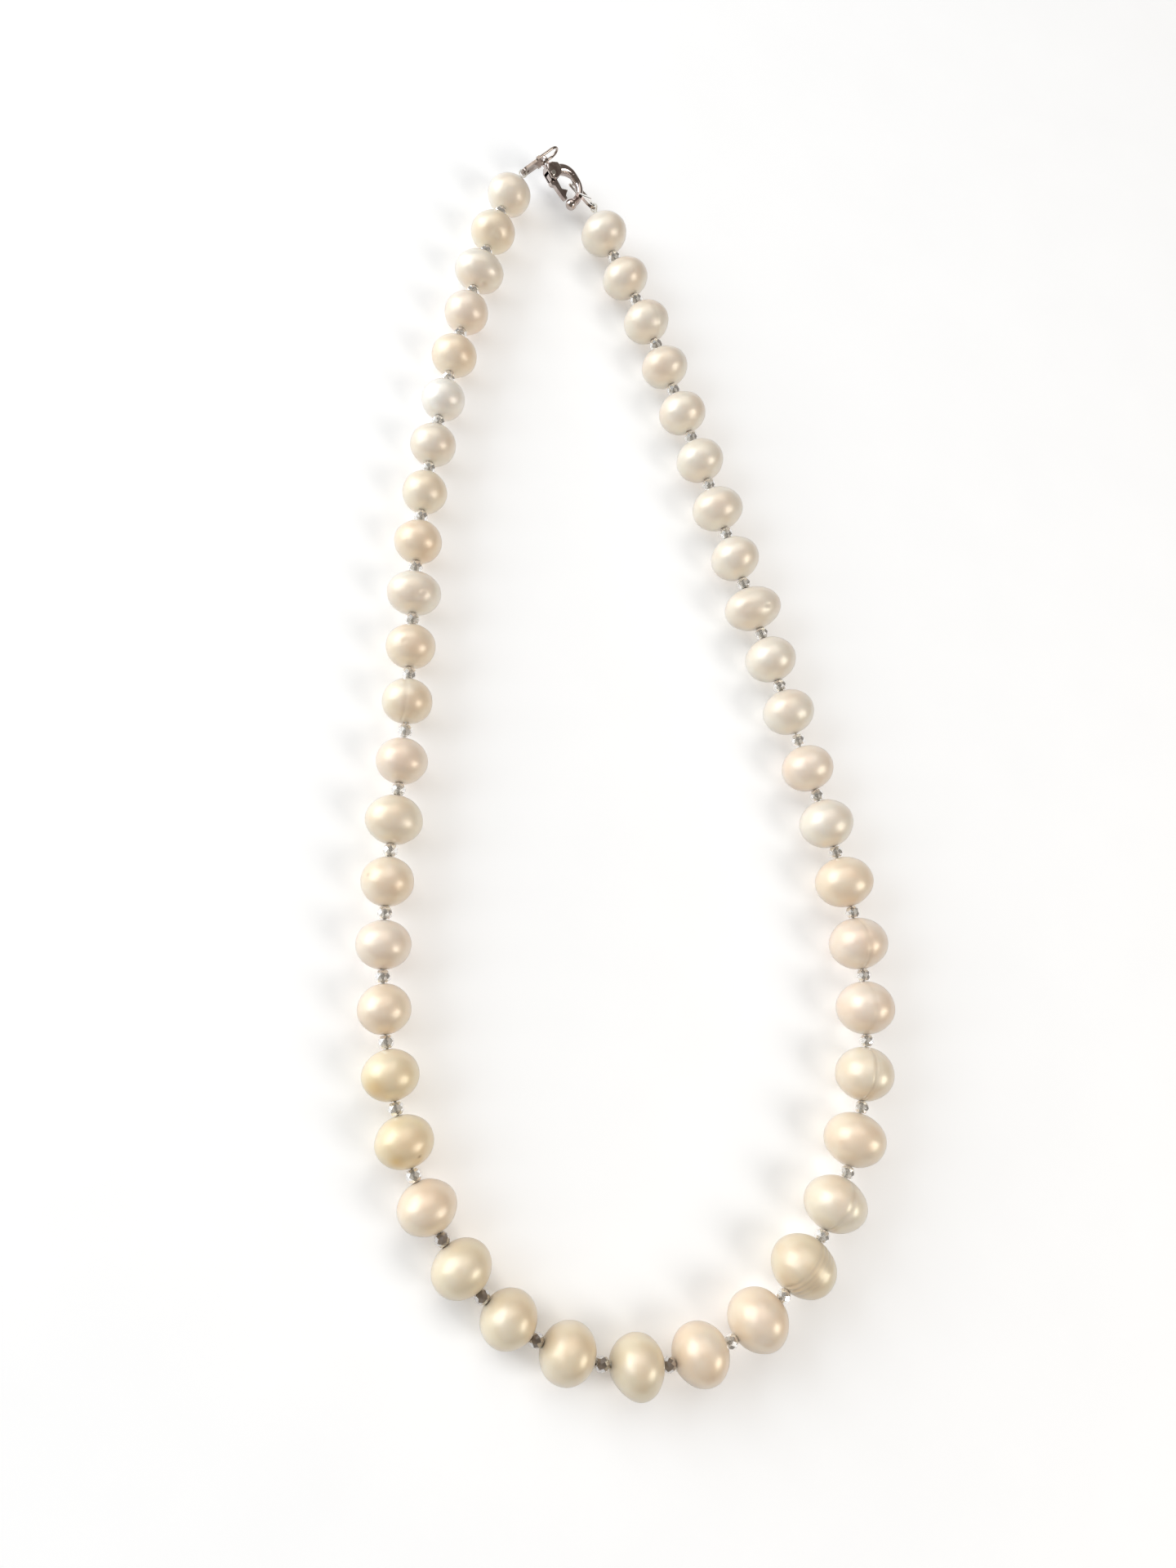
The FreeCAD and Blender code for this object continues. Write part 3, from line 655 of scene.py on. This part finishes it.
# At a flex one section's thread runs through the bead and just past it, and the next one's starts there.
STUB_LENGTH = 1.12 * MM
STUB = round(STUB_LENGTH / PATH_STEP)
CLEAR_OF_STUB = STUB + 1
SECTION_ENDS = {
    "left_back": (0, cuts[0] - CLEAR_OF_STUB),
    "left_front": (cuts[0] - STUB, cuts[1] + STUB),
    "right_front": (cuts[1] + CLEAR_OF_STUB, cuts[2] + STUB),
    "right_back": (cuts[2] + CLEAR_OF_STUB, len(whole_line) - 1),
}


def plate_normal(tag):
    """The direction that a tag's flat plate faces, taken from its largest face."""
    faces = [polygon.normal * polygon.area for polygon in nodes[tag].data.polygons]
    return max(faces, key=lambda normal: normal.length).normalized()


def ring_line(tag):
    """The thread's small ring through a tag's hole: a circle that stands across the tag's plate."""
    roll = joints[tag + "_roll"]
    centre = Vector(roll["pos_m"])
    low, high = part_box(tag)
    towards = ((low + high) / 2 - centre).normalized()
    plate = plate_normal(tag)
    turns = [2 * math.pi * index / RING_POINTS for index in range(RING_POINTS)]
    return [centre + (towards * math.cos(turn) + plate * math.sin(turn)) * RING_RADIUS for turn in turns]


def add_thread(section, ring_tag=None):
    """A section's thread, with the ring through the tag's hole where it ends at one."""
    first, last = SECTION_ENDS[section]
    line = whole_line[first:last + 1]
    points = []
    faces = []
    plies(line, points, faces)
    if ring_tag:
        plies(ring_line(ring_tag), points, faces, closed=True)
    made = make_object("twisted_thread_" + section, points, faces, THREAD)
    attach(made, section)
    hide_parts("thread_" + section)


add_thread("left_back", "left_tag")
add_thread("left_front")
add_thread("right_front")
add_thread("right_back", "right_tag")

# ---------------------------------------------------------------------------
# Metal pieces
# ---------------------------------------------------------------------------
METAL = {
    "left_tag": DARKER_SILVER,
    "right_tag": SILVER,
    # The clasp's silver carries a painted dark reflection in its colour.
    "clasp_body": REFLECTION_DARKENED_SILVER,
    "clasp_lever": REFLECTION_DARKENED_SILVER,
    "lever_rivet": SILVER,
    "lever_spring": SPRING,
}
# A face is on an edge where the cosine between its normal and the tag's facing is below this.
EDGE_FACING = 0.45

for node_name, finish in METAL.items():
    mesh = nodes[node_name].data
    mesh.materials.clear()
    mesh.materials.append(finish)


def darken_edges(tag):
    """The sides of the plate and the wire take the darker silver, and the plate's faces keep their own."""
    facing = plate_normal(tag)
    mesh = nodes[tag].data
    mesh.materials.append(DARKER_SILVER)
    for polygon in mesh.polygons:
        polygon.material_index = int(abs(polygon.normal.dot(facing)) < EDGE_FACING)


darken_edges("right_tag")

# The hook's cast swelling, in mm in the clasp's own plane: x from the eye to the nose, y to its back.
# The places, bends and turns down to the bar's radius repeat the CAD model's.
PIVOT_PLACE = (2.6, -0.45)
CLASP_SLOPE = math.radians(-11.6)
CLASP_YAW = math.radians(-51.7)
HOOK_BACK_CENTRE = (4.5, 1.1)
HOOK_BACK_RADIUS = 2.6
HOOK_FRONT_CENTRE = (5.3, 0.5)
HOOK_FRONT_RADIUS = 3.2
HOOK_BAR_RADIUS = 0.63
HOOK_SKIN = 0.04
# The back's swelling: its height, how far through its half wave it starts, and how blunt the wave is.
HOOK_SWELL = 0.30
HOOK_SWELL_START = 0.30
HOOK_SWELL_POWER = 0.8
# The nose's swelling, and the share of the front arc where it starts.
NOSE_SWELL = 0.10
NOSE_START = 0.55
# The skin's radius across the clasp's plane, as a multiple of its radius in it.
HOOK_DEPTH = 1.12
HOOK_SIDES = 28
HOOK_STEPS = 36


def clasp_axes():
    """The place of the clasp's eye, and the clasp's own x and y directions."""
    level = Vector((math.cos(CLASP_YAW), math.sin(CLASP_YAW), 0))
    ahead = level * math.cos(CLASP_SLOPE) + UP * math.sin(CLASP_SLOPE)
    aside = UP.cross(level)
    pivot = Vector(joints["lever_swing"]["pos_m"])
    eye = pivot - (ahead * PIVOT_PLACE[0] + aside * PIVOT_PLACE[1]) * MM
    return eye, ahead, aside


def back_swell(share):
    """Swelling at a share of the hook's back arc."""
    wave = min(1.0, HOOK_SWELL_START + (1 - HOOK_SWELL_START) * share)
    return HOOK_SWELL * math.sin(math.pi * wave) ** HOOK_SWELL_POWER


def nose_swell(share):
    """Swelling at a share of the hook's front arc."""
    return NOSE_SWELL * max(0.0, share - NOSE_START) / (1 - NOSE_START)


def hook_arc(centre, bend, start, swell):
    """A quarter turn of the hook from start degrees down: (centre, bend, angle, swelling) each."""
    stations = []
    for step in range(HOOK_STEPS + 1):
        share = step / HOOK_STEPS
        stations.append((centre, bend, math.radians(start - 90 * share), swell(share)))
    return stations


def add_hook():
    """A skin on the hook's bar: thick at its back, thin where the other tag's loop goes round it."""
    eye, ahead, aside = clasp_axes()
    normal = ahead.cross(aside)
    stations = hook_arc(HOOK_BACK_CENTRE, HOOK_BACK_RADIUS, 180, back_swell)
    stations += hook_arc(HOOK_FRONT_CENTRE, HOOK_FRONT_RADIUS, 90, nose_swell)
    points = []
    for centre, bend, angle, swell in stations:
        outward = ahead * math.cos(angle) + aside * math.sin(angle)
        middle = eye + (ahead * centre[0] + aside * centre[1] + outward * (bend - swell)) * MM
        radius = HOOK_BAR_RADIUS + HOOK_SKIN + swell
        for side in range(HOOK_SIDES):
            turn = 2 * math.pi * side / HOOK_SIDES
            wall = outward * math.cos(turn) + normal * math.sin(turn) * HOOK_DEPTH
            points.append(middle + wall * radius * MM)
    faces = tube_faces(0, len(stations), HOOK_SIDES)
    # The hook takes the clasp's silver, with its painted dark reflection.
    made = make_object("cast_hook", points, faces, REFLECTION_DARKENED_SILVER)
    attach(made, "clasp_body")


add_hook()

# ---------------------------------------------------------------------------
# Table, light and surroundings
# ---------------------------------------------------------------------------
FLOOR_SIZE = 4.0
FLOOR_WHITES = ((0.90, 0.90, 0.90), (0.93, 0.93, 0.93))
FLOOR_GLOW = 0.20
ROOM_COLOUR = (0.52, 0.47, 0.42)
ROOM_STRENGTH = 0.36
DAYLIGHT = (0.84, 0.92, 1.0)
LAMPLIGHT = (1.0, 0.98, 0.95)
# Lights: name -> (direction from the frame's origin, distance in m, side in m, watts, colour).
LIGHTS = {
    "window": ((-0.896, 0.383, 0.30), 0.9, 0.85, 10.5, DAYLIGHT),
    "lamp": ((0.639, -0.442, 0.627), 0.9, 0.42, 3.4, LAMPLIGHT),
    "ceiling": ((-0.2, 0.75, 1.0), 1.5, 1.3, 7.0, LAMPLIGHT),
}


def add_floor():
    """A white table top, with a faint glow that lifts the shadows."""
    half = FLOOR_SIZE / 2
    made = MaterialNodes("table_top")
    colour = made.mix(made.noise(60.0), *FLOOR_WHITES)
    made.link(colour, made.shader.inputs["Base Color"])
    made.link(colour, made.shader.inputs["Emission Color"])
    made.set(Roughness=0.8, Emission_Strength=FLOOR_GLOW)
    corners = [(-half, -half, 0), (half, -half, 0), (half, half, 0), (-half, half, 0)]
    make_object("table", corners, [(0, 1, 2, 3)], made.material, smooth=False)


def add_light(name, towards, distance, size, power, colour):
    """A square soft light, in that direction from the frame's origin, facing it."""
    data = bpy.data.lights.new(name, "AREA")
    data.shape = "SQUARE"
    data.size = size
    data.energy = power
    data.color = colour
    light = bpy.data.objects.new(name, data)
    scene.collection.objects.link(light)
    away = Vector(towards).normalized()
    light.location = away * distance
    light.rotation_euler = away.to_track_quat("Z", "Y").to_euler()


def add_surroundings():
    """A dim, even, warm room, which the pearls and the metal also mirror."""
    world = bpy.data.worlds.new("room")
    world.use_nodes = True
    background = world.node_tree.nodes["Background"]
    background.inputs["Color"].default_value = (*ROOM_COLOUR, 1)
    background.inputs["Strength"].default_value = ROOM_STRENGTH
    scene.world = world


add_floor()
add_surroundings()
for light_name, settings in LIGHTS.items():
    add_light(light_name, *settings)
